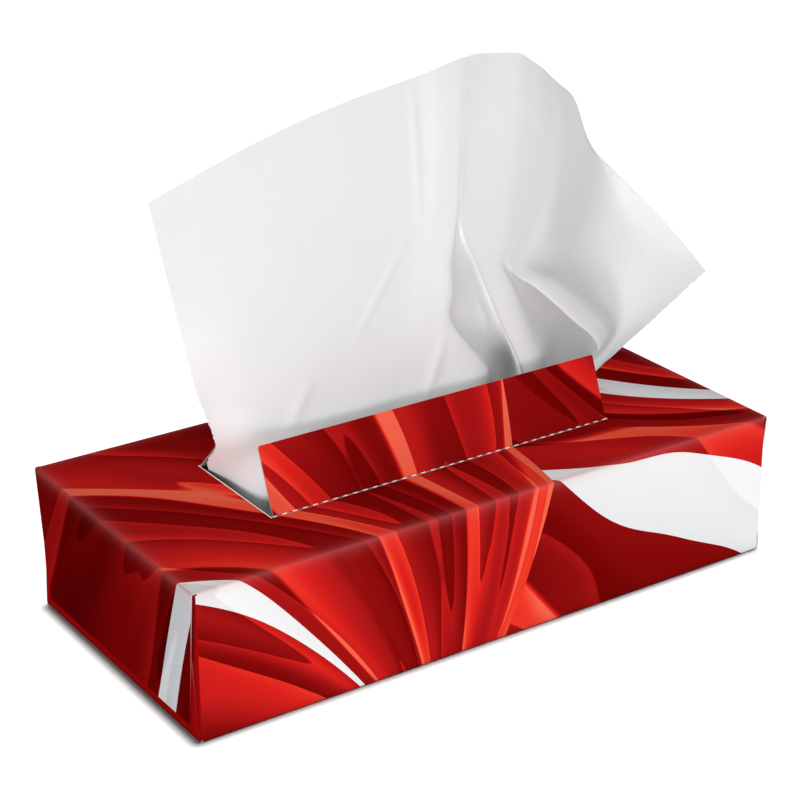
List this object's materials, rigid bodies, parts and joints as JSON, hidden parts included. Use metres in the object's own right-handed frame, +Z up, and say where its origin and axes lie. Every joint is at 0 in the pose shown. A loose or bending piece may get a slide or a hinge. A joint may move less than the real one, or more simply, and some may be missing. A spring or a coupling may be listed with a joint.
{
  "type": "tissue box",
  "caption": "Flat carton of facial tissues with its top opening torn into two hinged leaves and one tissue pulled up between them.",
  "frame": {"origin": "middle of the carton's base, on the surface it stands on", "axes": "+X along the carton, +Y from its front panel to its back panel, +Z up"},
  "size_m": [0.24, 0.113, 0.1933],
  "materials": {
    "printed_board": "gloss",
    "tissue": "matte",
    "glue": "matte"
  },
  "bodies": {
    "box": {"carton": "printed_board", "pulled_tissue": "tissue", "tissue_stack": "tissue", "seam_glue": "glue", "end_glue_left": "glue", "end_glue_right": "glue"},
    "front_leaf": {"front_flap": "printed_board"},
    "back_leaf": {"back_flap": "printed_board"}
  },
  "joints": [
    {"name": "front_leaf_crease", "type": "hinge", "parent": "box", "child": "front_leaf", "pos_m": [-0.001, -0.02475, 0.054], "axis": [1, 0, 0], "range_deg": [-7, 108.5]},
    {"name": "back_leaf_crease", "type": "hinge", "parent": "box", "child": "back_leaf", "pos_m": [-0.001, 0.02475, 0.054], "axis": [-1, 0, 0], "range_deg": [-3, 132.4]}
  ]
}
